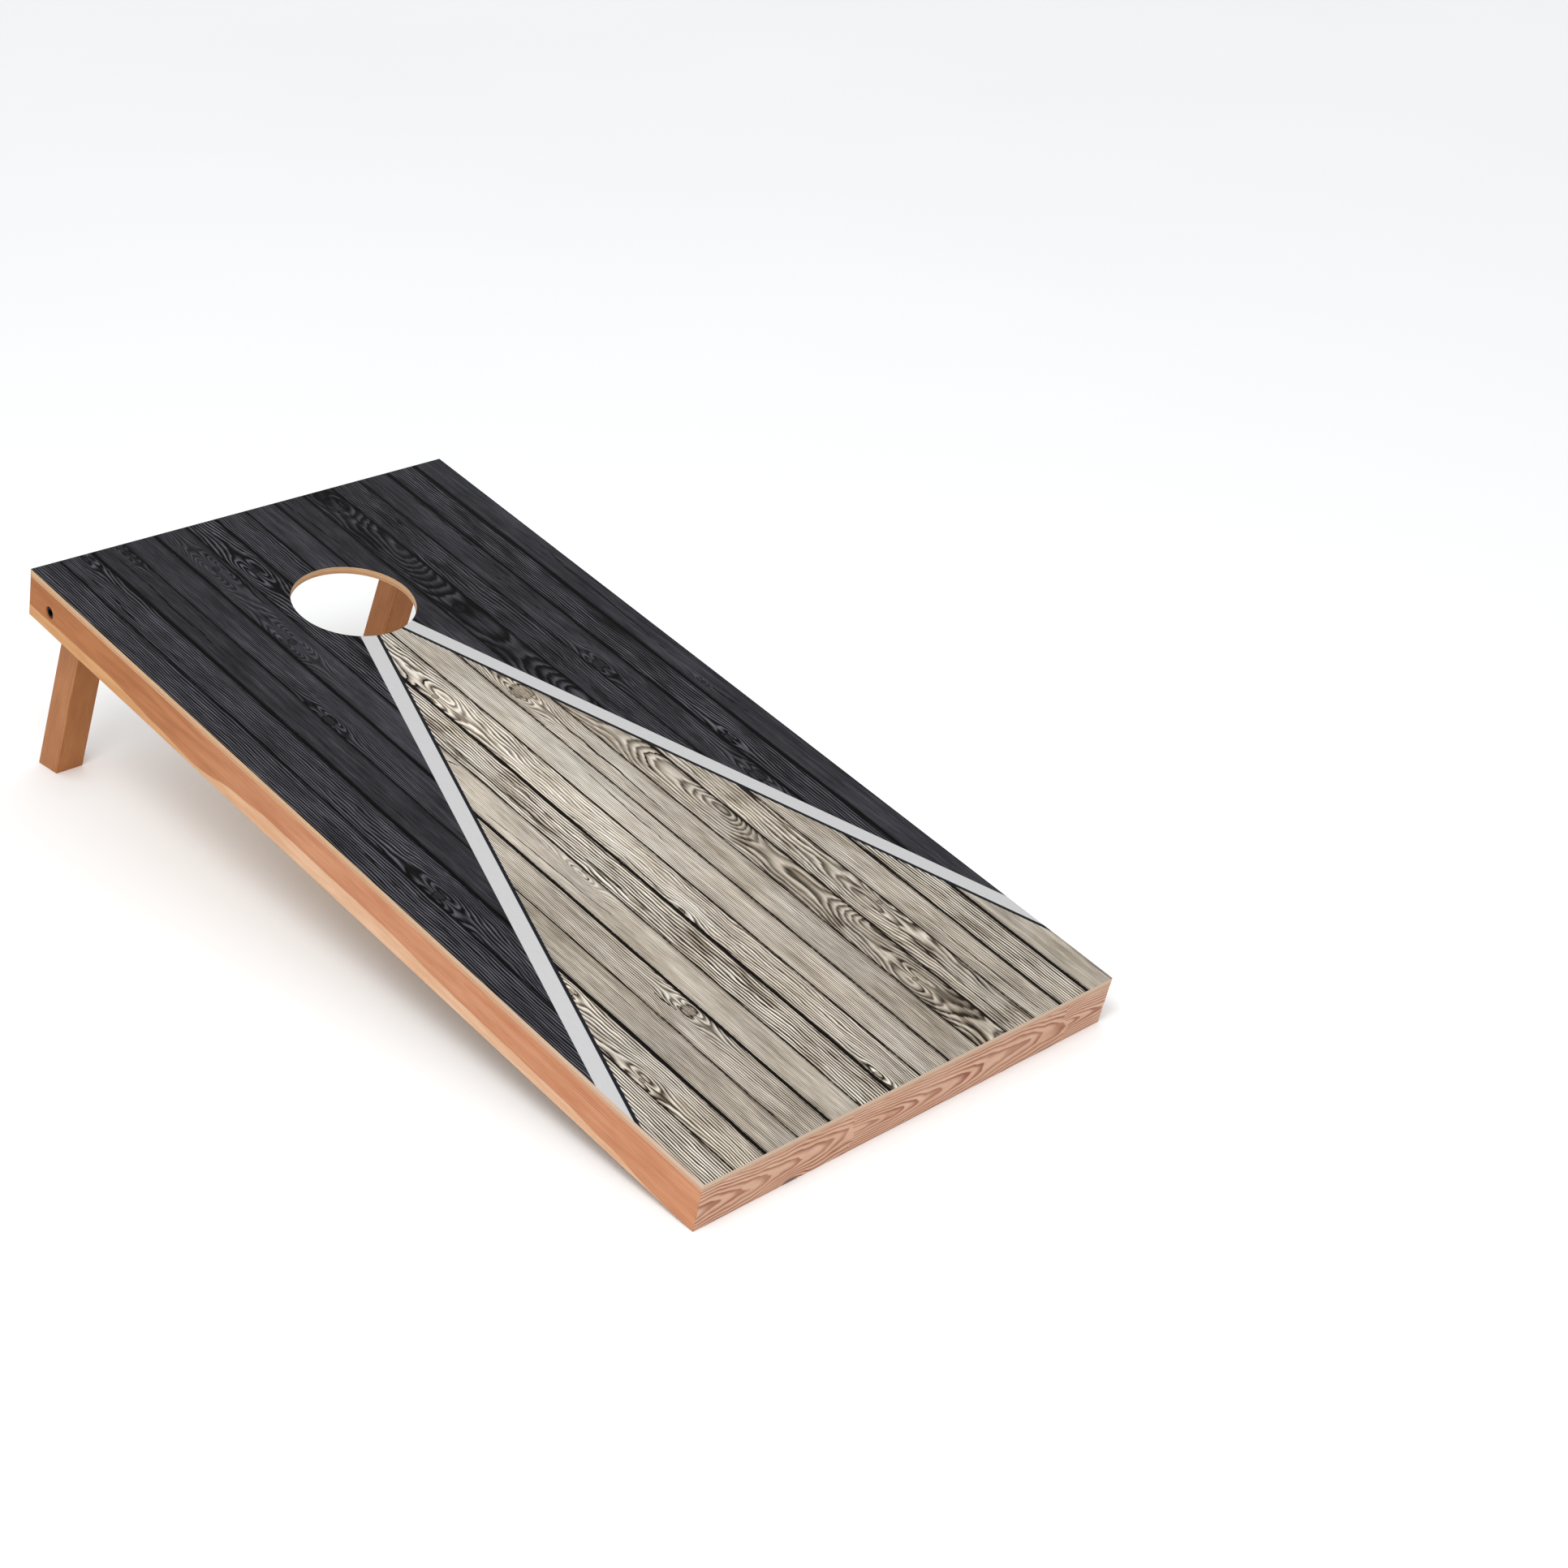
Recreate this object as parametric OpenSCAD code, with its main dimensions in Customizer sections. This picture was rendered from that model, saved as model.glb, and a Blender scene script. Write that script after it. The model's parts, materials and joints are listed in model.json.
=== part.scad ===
// Cornhole board: a plywood deck with a printed skin on a mitred wooden frame,
// held up at the back by two legs that fold away inside the frame.
//
// The part stands on flat ground. +Z is up, +Y runs up the slope towards the back edge,
// and +X is to the right of a player who faces the board. The origin is on the ground,
// below the middle of the part's own box.
//
// Two frames are used. Most sub-parts are drawn in the board's own frame, where y runs
// along the deck from the front edge, and z is the height above the frame's lower face.
// on_ground() then tilts them, so that the front edge and the feet stand on the ground.

/* [Board] */
// Length of the deck along the slope
board_l = 1219.2; // [1000:0.1:1250]
// Width of the deck
board_w = 609.6; // [450:0.1:700]
// Height of the back edge's top above the ground
back_h = 304.8; // [260:0.1:330]
// Diameter of the target hole
hole_d = 152.4; // [120:0.1:160]
// Distance from the back edge to the middle of the target hole
hole_back = 228.6; // [200:0.1:260]

/* [Deck] */
// Thickness of the plywood panel
deck_t = 9.5; // [9:0.1:19]
// Thickness of the printed skin on the panel
skin_t = 0.3; // [0.1:0.1:0.5]

/* [Frame] */
// Depth of the rails below the deck
rail_h = 54; // [46:0.1:80]
// Thickness of the rails, the leg blocks and the centre brace
rail_t = 19.05; // [16:0.05:24]
// Length of the blocks that double the side rails at the leg bolts
block_l = 152.4; // [120:0.1:220]
// Depth of the centre brace and of the corner blocks
brace_h = 38.1; // [30:0.1:44]
// Length of a corner block along each rail
corner_l = 63.5; // [40:0.1:90]
// Length of a mitre biscuit, which stands upright in the joint
biscuit_l = 44; // [36:0.5:44]
// Width of a mitre biscuit, half of it in each rail
biscuit_w = 15; // [10:0.5:15]
// Thickness of a mitre biscuit
biscuit_t = 4; // [3:0.5:4]

/* [Legs] */
// Width of a leg, seen from the side of the board
leg_w = 38.1; // [34:0.1:39]
// Thickness of a leg, seen from the back of the board
leg_t = 38.1; // [25:0.1:42]
// Distance from the back edge to the leg bolts
pivot_back = 43.5; // [43:0.1:45]
// Gap between a leg and the back rail's lower edge, which stops it
stop_gap = 0.2; // [0.1:0.1:0.5]
// Gap on each side of a leg, between it and its washers
side_gap = 0.1; // [0.1:0.05:0.5]

/* [Leg bolts] */
// Diameter of the bolt's shank
bolt_d = 9.525; // [8:0.005:9.8]
// Diameter of the bolt's round head
bolt_head_d = 14.3; // [12.5:0.05:15]
// Height of the bolt's head
bolt_head_h = 9.5; // [8:0.1:10]
// Size of the hexagon socket, across its flats
socket_af = 7.94; // [5:0.01:9]
// Length of the bolt below its head
bolt_l = 82.55; // [80:0.05:90]
// Diameter of the counterbore in the side rail
counterbore_d = 15.875; // [15.5:0.005:18]
// Depth of the counterbore
counterbore_depth = 11.1; // [10.5:0.1:12]
// Gap all round a bolt in its holes
bolt_gap = 0.08; // [0.02:0.01:0.1]
// Outer diameter of the washers
washer_d = 25.4; // [20:0.1:28]
// Thickness of the washers
washer_t = 1.65; // [1:0.05:2]
// Size of the lock nut, across its flats
nut_af = 14.29; // [14:0.01:16]
// Height of the lock nut's hexagon
nut_hex_h = 8.2; // [7:0.1:9]
// Height of the collar that holds the nylon ring
nut_collar_h = 3.6; // [3:0.1:4]

/* [Screws] */
// Diameter of a wood screw's shank
screw_d = 4; // [3:0.1:4.5]
// Diameter of a wood screw's head
screw_head_d = 8.2; // [7:0.1:9]
// Length of a wood screw
screw_l = 31.75; // [24:0.05:32]
// Number of deck screws along each side rail, even so that none meets the brace's screws
side_screws = 6; // [4:2:8]
// Number of deck screws along the front rail and the back rail
end_screws = 3; // [2:1:4]
// Angle of the pocket screws to the brace's face
pocket_angle = 15; // [12:1:18]

/* [Hidden] */

$fn = 64;
cut = 1;                 // how far a cutting tool runs past the face that it opens
left = -1;
right = 1;

half_w = board_w / 2;
deck_z = rail_h;                                  // underside of the plywood
skin_z = deck_z + deck_t;
top_z = skin_z + skin_t;
hole_y = board_l - hole_back;
inner_w = board_w - 2 * rail_t;                   // clear width between the side rails

// The front edge of the frame lies on the ground, and the back edge's top is back_h above it.
tilt = asin(back_h / norm([board_l, top_z])) - atan(top_z / board_l);

// The leg turns about the bolt, half-way up the rail. It leans back until its rear face
// meets the lower inner edge of the back rail, edge_y behind the bolt and pivot_z below it.
pivot_y = board_l - pivot_back;
pivot_z = rail_h / 2;
edge_y = pivot_back - rail_t;
lean = acos((leg_w / 2 + stop_gap) / norm([edge_y, pivot_z])) - atan(pivot_z / edge_y);
leg_angle = tilt + lean;                          // from the vertical

// The bolt's place above the ground, measured from the front edge
bolt_ground_y = pivot_y * cos(tilt) - pivot_z * sin(tilt);
bolt_ground_z = pivot_y * sin(tilt) + pivot_z * cos(tilt);
foot_back_y = bolt_ground_y + bolt_ground_z * tan(leg_angle) + leg_w / 2 / cos(leg_angle);
front_top_y = -top_z * sin(tilt);
middle_y = (foot_back_y + front_top_y) / 2;

// The stack along a leg bolt, as distances inwards from the board's side
block_x = rail_t;
spacer_x = block_x + rail_t;
leg_x = spacer_x + washer_t + side_gap;
nut_washer_x = leg_x + leg_t + side_gap;
nut_x = nut_washer_x + washer_t;
ring_d = nut_af - 3.2;                            // outer diameter of the nylon ring
ring_h = nut_collar_h - 1;
collar_d = nut_af - 0.8;
socket_depth = bolt_head_h / 2;
bolt_edge = 0.8;                                  // chamfer of the bolt's head and end

screw_head_h = (screw_head_d - screw_d) / 2;
screw_tip_l = 2 * screw_d;
end_margin = board_l / 12;                        // first and last deck screw, from the ends
side_screw_step = (board_l - 2 * end_margin) / (side_screws - 1);
end_screw_step = board_w / (end_screws + 1);
brace_y = board_l / 2 - rail_t / 2;
brace_screw_x = board_w / 6;
block_y = board_l - rail_t - block_l;
block_screw_inset = rail_h / 4;                   // from the block's upper and lower faces
pocket_d = 9.5;
pocket_start = 16;                                // from the brace's end to the screw's head
pocket_heights = [rail_h - brace_h * 3 / 4, rail_h - brace_h / 4];

plywood = "burlywood";
rail_wood = "sandybrown";
black_steel = [0.12, 0.12, 0.13];
zinc = "silver";

// ---- placing ----

module on_ground() {
    translate([0, -middle_y, 0])
        rotate([tilt, 0, 0])
            children();
}

// Puts a shape drawn along +X, starting at x = 0, onto the leg bolt's line: x is then
// the distance inwards from the board's side
module on_bolt_line(side) {
    on_ground()
        translate([side * half_w, pivot_y, pivot_z])
            mirror([side > 0 ? 1 : 0, 0, 0])
                children();
}

module along_x(x, length, d) {
    translate([x, 0, 0])
        rotate([0, 90, 0])
            cylinder(d = d, h = length);
}

function spaced(count, first, step) = [for (i = [0 : count - 1]) first + i * step];

// ---- screws and their holes ----

// A countersunk screw that points down, with the top of its head at z = 0
module screw() {
    rotate_extrude()
        polygon([[0, 0],
                 [screw_head_d / 2, 0],
                 [screw_d / 2, -screw_head_h],
                 [screw_d / 2, -screw_l + screw_tip_l],
                 [0, -screw_l]]);
}

function side_screw_places() = [
    for (side = [left, right])
        for (y = spaced(side_screws, end_margin, side_screw_step))
            [side * (half_w - rail_t / 2), y]
];

function end_screw_places() = [
    for (y = [rail_t / 2, board_l - rail_t / 2])
        for (x = spaced(end_screws, end_screw_step - half_w, end_screw_step))
            [x, y]
];

function brace_screw_places() = [for (side = [left, right]) [side * brace_screw_x, board_l / 2]];

module each_deck_screw() {
    for (place = concat(side_screw_places(), end_screw_places(), brace_screw_places()))
        translate([place.x, place.y, skin_z])
            screw();
}

// Screws from the inner face of each leg block into the side rail
module each_block_screw(side) {
    for (spot = [[block_y + block_l / 8, block_screw_inset],
                 [block_y + block_l * 3 / 8, rail_h - block_screw_inset],
                 [block_y + block_l * 5 / 8, block_screw_inset]])
        translate([side * (half_w - spacer_x), spot.x, spot.y])
            rotate([0, -side * 90, 0])
                screw();
}

// Puts a shape that points down onto each pocket screw's line, which leaves the middle of
// the brace's end at a slant. Its z = 0 is where the screw's head sits.
module each_pocket(side) {
    for (z = pocket_heights)
        translate([side * inner_w / 2, board_l / 2, z])
            rotate([0, 0, side * pocket_angle])
                translate([-side * pocket_start, 0, 0])
                    rotate([0, -side * 90, 0])
                        children();
}

module each_brace_screw(side) {
    each_pocket(side)
        screw();
}

// ---- mitred frame ----

// A biscuit stands in the mitre, half in each rail, square to the joint's face
module biscuit() {
    curve_r = (biscuit_l * biscuit_l / 4 + biscuit_w * biscuit_w / 4) / biscuit_w;
    translate([-biscuit_t / 2, 0, 0])
        rotate([0, 90, 0])
            linear_extrude(biscuit_t)
                intersection_for (way = [left, right])
                    translate([0, way * (curve_r - biscuit_w / 2)])
                        circle(r = curve_r, $fn = 128);
}

module each_biscuit() {
    for (side = [left, right])
        for (back = [0, 1])
            translate([side * (half_w - rail_t / 2),
                       back ? board_l - rail_t / 2 : rail_t / 2,
                       rail_h / 2])
                rotate([0, 0, (back ? 1 : -1) * side * 45])
                    biscuit();
}

module end_rail_blank(back) {
    inner_y = back ? board_l - rail_t : rail_t;
    outer_y = back ? board_l : 0;
    linear_extrude(rail_h)
        polygon([[-half_w, outer_y],
                 [half_w, outer_y],
                 [half_w - rail_t, inner_y],
                 [rail_t - half_w, inner_y]]);
}

module side_rail_blank(side) {
    outer_x = side * half_w;
    inner_x = side * (half_w - rail_t);
    linear_extrude(rail_h)
        polygon([[outer_x, 0],
                 [inner_x, rail_t],
                 [inner_x, board_l - rail_t],
                 [outer_x, board_l]]);
}

module end_rail(back) {
    color(rail_wood)
        on_ground()
            difference() {
                end_rail_blank(back);
                each_deck_screw();
                each_biscuit();
            }
}

module side_rail(side) {
    color(rail_wood)
        difference() {
            on_ground()
                difference() {
                    side_rail_blank(side);
                    each_deck_screw();
                    each_biscuit();
                    each_block_screw(side);
                    each_brace_screw(side);
                }
            on_bolt_line(side) {
                along_x(-cut, counterbore_depth + cut, counterbore_d);
                along_x(-cut, rail_t + 2 * cut, bolt_d + 2 * bolt_gap);
            }
        }
}

module front_rail() { end_rail(0); }
module back_rail() { end_rail(1); }
module left_rail() { side_rail(left); }
module right_rail() { side_rail(right); }

module mitre_biscuits() {
    color("tan")
        on_ground()
            each_biscuit();
}

module centre_brace() {
    color(rail_wood)
        on_ground()
            difference() {
                translate([-inner_w / 2, brace_y, rail_h - brace_h])
                    cube([inner_w, rail_t, brace_h]);
                each_deck_screw();
                for (side = [left, right]) {
                    each_brace_screw(side);
                    each_pocket(side)
                        cylinder(d = pocket_d, h = rail_t / sin(pocket_angle));
                }
            }
}

module leg_block(side) {
    color(rail_wood)
        difference() {
            on_ground()
                difference() {
                    translate([side > 0 ? half_w - spacer_x : block_x - half_w, block_y, 0])
                        cube([rail_t, block_l, rail_h]);
                    each_block_screw(side);
                }
            on_bolt_line(side)
                along_x(block_x - cut, rail_t + 2 * cut, bolt_d + 2 * bolt_gap);
        }
}

module left_leg_block() { leg_block(left); }
module right_leg_block() { leg_block(right); }

// A three-cornered glue block stands in each front corner, tight under the deck
module corner_block(side) {
    color(rail_wood)
        on_ground()
            translate([side * inner_w / 2, rail_t, rail_h - brace_h])
                linear_extrude(brace_h)
                    polygon([[0, 0], [-side * corner_l, 0], [0, corner_l]]);
}

module left_corner_block() { corner_block(left); }
module right_corner_block() { corner_block(right); }

// ---- deck ----

module hole_cut() {
    translate([0, hole_y, 0])
        cylinder(d = hole_d, h = top_z + cut, $fn = 128);
}

module deck_panel() {
    color(plywood)
        on_ground()
            difference() {
                translate([-half_w, 0, deck_z])
                    cube([board_w, board_l, deck_t]);
                hole_cut();
                each_deck_screw();
            }
}

module deck_graphic() {
    color([0.2, 0.21, 0.24])
        on_ground()
            difference() {
                translate([-half_w, 0, skin_z])
                    cube([board_w, board_l, skin_t]);
                hole_cut();
            }
}

// ---- legs and their bolts ----

// The leg is round at the bolt, and its foot is cut flat on the ground
module leg(side) {
    foot_drop = leg_w * tan(leg_angle);
    leg_l = bolt_ground_z / cos(leg_angle) + foot_drop;
    bolt_x = side * (half_w - leg_x - leg_t / 2);
    color("peru")
        difference() {
            translate([bolt_x, bolt_ground_y - middle_y, bolt_ground_z])
                rotate([leg_angle, 0, 0])
                    difference() {
                        union() {
                            along_x(-leg_t / 2, leg_t, leg_w);
                            translate([-leg_t / 2, -leg_w / 2, -leg_l])
                                cube([leg_t, leg_w, leg_l]);
                        }
                        along_x(-leg_t / 2 - cut, leg_t + 2 * cut, bolt_d + 2 * bolt_gap);
                    }
            translate([bolt_x - leg_t, foot_back_y - middle_y - 3 * leg_w, -2 * leg_w])
                cube([2 * leg_t, 4 * leg_w, 2 * leg_w]);
        }
}

module left_leg() { leg(left); }
module right_leg() { leg(right); }

// A socket-head bolt whose head lies in the counterbore
module leg_bolt(side) {
    head_end = counterbore_depth;
    head_start = head_end - bolt_head_h;
    bolt_end = head_end + bolt_l;
    head_r = bolt_head_d / 2;
    shank_r = bolt_d / 2;
    color(black_steel)
        on_bolt_line(side)
            difference() {
                rotate([0, 90, 0])
                    rotate_extrude()
                        polygon([[0, head_start],
                                 [head_r - bolt_edge, head_start],
                                 [head_r, head_start + bolt_edge],
                                 [head_r, head_end],
                                 [shank_r, head_end],
                                 [shank_r, bolt_end - bolt_edge],
                                 [shank_r - bolt_edge, bolt_end],
                                 [0, bolt_end]]);
                along_x_hexagon(head_start - cut, socket_depth + cut, socket_af);
            }
}

module along_x_hexagon(x, length, across_flats) {
    translate([x, 0, 0])
        rotate([0, 90, 0])
            cylinder(d = across_flats / cos(30), h = length, $fn = 6);
}

module left_leg_bolt() { leg_bolt(left); }
module right_leg_bolt() { leg_bolt(right); }

module washer(side, x) {
    color(zinc)
        on_bolt_line(side)
            difference() {
                along_x(x, washer_t, washer_d);
                along_x(x - cut, washer_t + 2 * cut, bolt_d + 2 * bolt_gap);
            }
}

module left_spacer_washer() { washer(left, spacer_x); }
module right_spacer_washer() { washer(right, spacer_x); }
module left_nut_washer() { washer(left, nut_washer_x); }
module right_nut_washer() { washer(right, nut_washer_x); }

// A hexagon with a round collar, which is hollow at its end for the nylon ring
module lock_nut(side) {
    collar_x = nut_x + nut_hex_h;
    nut_end = collar_x + nut_collar_h;
    color(zinc)
        on_bolt_line(side)
            difference() {
                union() {
                    along_x_hexagon(nut_x, nut_hex_h, nut_af);
                    along_x(collar_x, nut_collar_h, collar_d);
                }
                along_x(nut_x - cut, nut_hex_h + nut_collar_h + 2 * cut, bolt_d + 2 * bolt_gap);
                along_x(nut_end - ring_h, ring_h + cut, ring_d);
            }
}

module nut_ring(side) {
    ring_x = nut_x + nut_hex_h + nut_collar_h - ring_h;
    color("royalblue")
        on_bolt_line(side)
            difference() {
                along_x(ring_x, ring_h, ring_d);
                along_x(ring_x - cut, ring_h + 2 * cut, bolt_d);
            }
}

module left_lock_nut() { lock_nut(left); }
module right_lock_nut() { lock_nut(right); }
module left_nut_ring() { nut_ring(left); }
module right_nut_ring() { nut_ring(right); }

// ---- groups of screws ----

module deck_screws() {
    color(zinc)
        on_ground()
            each_deck_screw();
}

module brace_screws() {
    color(zinc)
        on_ground()
            for (side = [left, right])
                each_brace_screw(side);
}

module leg_block_screws() {
    color(zinc)
        on_ground()
            for (side = [left, right])
                each_block_screw(side);
}

deck_panel();
deck_graphic();
front_rail();
back_rail();
left_rail();
right_rail();
centre_brace();
left_leg_block();
right_leg_block();
left_corner_block();
right_corner_block();
left_leg();
right_leg();
left_leg_bolt();
right_leg_bolt();
left_spacer_washer();
right_spacer_washer();
left_nut_washer();
right_nut_washer();
left_lock_nut();
right_lock_nut();
left_nut_ring();
right_nut_ring();
deck_screws();
brace_screws();
leg_block_screws();
mitre_biscuits();
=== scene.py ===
"""The looks of a cornhole board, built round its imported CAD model.

Every length is in metres, as in the frame, except in the materials, which work in millimetres.
The board's own frame has x across the deck from its middle, y along the deck from the front
edge, and z square to the deck from the underside of the rails.
"""

import json
import math

import bmesh
import bpy
from mathutils import Matrix, Vector


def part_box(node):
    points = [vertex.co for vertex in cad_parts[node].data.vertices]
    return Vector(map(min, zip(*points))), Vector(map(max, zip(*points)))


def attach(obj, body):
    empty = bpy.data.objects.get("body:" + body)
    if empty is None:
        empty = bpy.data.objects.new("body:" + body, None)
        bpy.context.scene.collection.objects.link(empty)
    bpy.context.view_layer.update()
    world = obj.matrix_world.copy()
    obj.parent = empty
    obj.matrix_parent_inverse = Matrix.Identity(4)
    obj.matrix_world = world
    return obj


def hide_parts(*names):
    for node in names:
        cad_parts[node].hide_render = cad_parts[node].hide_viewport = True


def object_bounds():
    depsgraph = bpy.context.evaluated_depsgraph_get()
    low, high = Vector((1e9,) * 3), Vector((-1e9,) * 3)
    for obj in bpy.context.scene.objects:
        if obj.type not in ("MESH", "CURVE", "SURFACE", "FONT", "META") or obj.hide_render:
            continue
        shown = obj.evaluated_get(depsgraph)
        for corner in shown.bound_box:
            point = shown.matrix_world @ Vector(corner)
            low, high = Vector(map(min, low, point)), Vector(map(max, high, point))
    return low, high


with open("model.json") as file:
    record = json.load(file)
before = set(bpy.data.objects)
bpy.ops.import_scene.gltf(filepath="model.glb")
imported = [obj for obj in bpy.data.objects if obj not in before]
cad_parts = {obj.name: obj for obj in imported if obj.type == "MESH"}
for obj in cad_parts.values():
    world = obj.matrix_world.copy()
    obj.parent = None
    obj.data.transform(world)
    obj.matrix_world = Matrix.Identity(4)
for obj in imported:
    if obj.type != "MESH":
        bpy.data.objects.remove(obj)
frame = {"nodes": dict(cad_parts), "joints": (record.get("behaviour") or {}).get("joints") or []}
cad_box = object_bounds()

NODES = frame["nodes"]
MM = 0.001

# How deep the fine relief of each kind of surface is
SKIN_RELIEF = 0.04 * MM
TIMBER_RELIEF = 0.08 * MM
STEEL_RELIEF = 0.01 * MM
NYLON_RELIEF = 0.02 * MM

# ---------------------------------------------------------------------------
# Places and sizes, from the frame
# ---------------------------------------------------------------------------


def far_vertex(node, direction):
    """The vertex of a CAD node that lies furthest along a direction."""
    return max((v.co for v in NODES[node].data.vertices), key=Vector(direction).dot).copy()


front_top = far_vertex("deck_graphic", (0, -1, 0))
back_top = far_vertex("deck_graphic", (0, 0, 1))
front_foot = far_vertex("front_rail", (0, 0, -1))
TILT = math.atan2(back_top.z - front_top.z, back_top.y - front_top.y)
BOARD_L = math.hypot(back_top.y - front_top.y, back_top.z - front_top.z)
BOARD_W = cad_box[1][0] - cad_box[0][0]
BOARD_AT = Matrix.Translation((0, front_foot.y, 0)) @ Matrix.Rotation(TILT, 4, "X")
TO_BOARD = BOARD_AT.inverted()


def board_span(node, axis):
    """The lowest and highest place of a CAD node along one axis of the board's own frame."""
    places = [(TO_BOARD @ v.co)[axis] for v in NODES[node].data.vertices]
    return min(places), max(places)


RAIL_H = board_span("front_rail", 2)[1]
DECK_TOP = board_span("deck_panel", 2)[1]
PIVOT = {j["child"]: Vector(j["pos_m"]) for j in frame["joints"]}
on_floor = [v.co.y for v in NODES["left_leg"].data.vertices if v.co.z < 0.1 * MM]
FOOT_Y = (min(on_floor) + max(on_floor)) / 2
LEG_LEAN = math.atan2(FOOT_Y - PIVOT["left_leg"].y, PIVOT["left_leg"].z)

# ---------------------------------------------------------------------------
# Node trees, written as sums and products
# ---------------------------------------------------------------------------


def srgb(red, green, blue):
    """A colour given as it looks on screen, from 0 to 255, as the linear colour that nodes use."""
    def linear(value):
        value /= 255
        return value / 12.92 if value <= 0.04045 else ((value + 0.055) / 1.055) ** 2.4
    return (linear(red), linear(green), linear(blue), 1.0)


class Term:
    """A value in a node tree that can stand in plain sums and products."""

    def __init__(self, graph, socket):
        self.graph = graph
        self.socket = socket

    def __add__(self, other):
        return self.graph.math("ADD", self, other)

    def __sub__(self, other):
        return self.graph.math("SUBTRACT", self, other)

    def __rsub__(self, other):
        return self.graph.math("SUBTRACT", other, self)

    def __mul__(self, other):
        return self.graph.math("MULTIPLY", self, other)

    def __truediv__(self, other):
        return self.graph.math("DIVIDE", self, other)

    __radd__ = __add__


class Graph:
    """A material and the nodes that make it."""

    def __init__(self, name):
        self.material = bpy.data.materials.new(name)
        self.material.use_nodes = True
        self.tree = self.material.node_tree
        self.tree.nodes.clear()
        self.shader = self.tree.nodes.new("ShaderNodeBsdfPrincipled")
        output = self.tree.nodes.new("ShaderNodeOutputMaterial")
        self.tree.links.new(self.shader.outputs["BSDF"], output.inputs["Surface"])

    def feed(self, socket, value):
        if isinstance(value, Term):
            self.tree.links.new(value.socket, socket)
        else:
            socket.default_value = value

    def node(self, kind, output, **inputs):
        """Adds a node, feeds its inputs by name, and returns one output of it."""
        node = self.tree.nodes.new("ShaderNode" + kind)
        for key, value in inputs.items():
            self.feed(node.inputs[key.replace("_", " ")], value)
        return Term(self, node.outputs[output])

    def math(self, operation, *values):
        node = self.tree.nodes.new("ShaderNodeMath")
        node.operation = operation
        for socket, value in zip(node.inputs, values):
            self.feed(socket, value)
        return Term(self, node.outputs[0])

    def floor(self, value):
        return self.math("FLOOR", value)

    def fract(self, value):
        return self.math("FRACT", value)

    def size(self, value):
        return self.math("ABSOLUTE", value)

    def root(self, value):
        return self.math("SQRT", value)

    def smallest(self, first, second):
        return self.math("MINIMUM", first, second)

    def largest(self, first, second):
        return self.math("MAXIMUM", first, second)

    def wave(self, value):
        return self.math("SINE", value)

    def far(self, x, y, middle, reach):
        """The square of how far a place is from a middle, which is 1 at the reach each way."""
        aside = (x - middle[0]) / reach[0]
        ahead = (y - middle[1]) / reach[1]
        return aside * aside + ahead * ahead

    def patch(self, x, y, middle, reach):
        """1 at the middle of a soft patch, and fading to 0 past its reach."""
        return self.math("EXPONENT", self.far(x, y, middle, reach) * -1.0)

    def step(self, value, start, end):
        """0 where value is at start, 1 where it is at end, and smooth between them."""
        node = self.tree.nodes.new("ShaderNodeMapRange")
        node.interpolation_type = "SMOOTHSTEP"
        self.feed(node.inputs["Value"], value)
        self.feed(node.inputs["From Min"], start)
        self.feed(node.inputs["From Max"], end)
        return Term(self, node.outputs["Result"])

    def vector(self, x, y, z=0.0):
        return self.node("CombineXYZ", "Vector", X=x, Y=y, Z=z)

    def parts(self, vector):
        """The three components of a vector, or the three channels of a colour."""
        node = self.tree.nodes.new("ShaderNodeSeparateXYZ")
        self.feed(node.inputs[0], vector)
        return [Term(self, socket) for socket in node.outputs]

    def noise(self, x, y, z=0.0, detail=2.0, roughness=0.5):
        """Soft noise from 0 to 1 whose blobs are about one unit across."""
        return self.node("TexNoise", "Fac", Vector=self.vector(x, y, z), Scale=1.0,
                         Detail=detail, Roughness=roughness)

    def sway(self, *place, detail=2.0):
        """Soft noise from -1 to 1."""
        return (self.noise(*place, detail=detail) - 0.5) * 2.0

    def ramp(self, value, stops, interpolation="LINEAR"):
        """A colour from a list of (place, colour), with places from 0 to 1."""
        node = self.tree.nodes.new("ShaderNodeValToRGB")
        node.color_ramp.interpolation = interpolation
        elements = node.color_ramp.elements
        while len(elements) < len(stops):
            elements.new(1.0)
        for element, (place, colour) in zip(elements, stops):
            element.position = place
            element.color = colour
        self.feed(node.inputs["Fac"], value)
        return Term(self, node.outputs["Color"])

    def pick(self, index, rows):
        """For each whole number in index, that row's three values, each from 0 to 1."""
        stops = [(i / len(rows), (*row, 1.0)) for i, row in enumerate(rows)]
        middle = (index + 0.5) / float(len(rows))
        return self.parts(self.ramp(middle, stops, "CONSTANT"))

    def mix(self, share, first, second, blend="MIX"):
        node = self.tree.nodes.new("ShaderNodeMix")
        node.data_type = "RGBA"
        node.blend_type = blend
        colours = [socket for socket in node.inputs if socket.type == "RGBA"]
        self.feed(node.inputs[0], share)
        self.feed(colours[0], first)
        self.feed(colours[1], second)
        return Term(self, [socket for socket in node.outputs if socket.type == "RGBA"][0])

    def bump(self, height, depth):
        """A normal bent by a height, of which 1 stands for depth in metres."""
        return self.node("Bump", "Normal", Height=height, Distance=depth, Strength=1.0)

    def surface(self, **inputs):
        """Sets the shader's own inputs and returns the material."""
        for key, value in inputs.items():
            self.feed(self.shader.inputs[key.replace("_", " ")], value)
        return self.material

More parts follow.
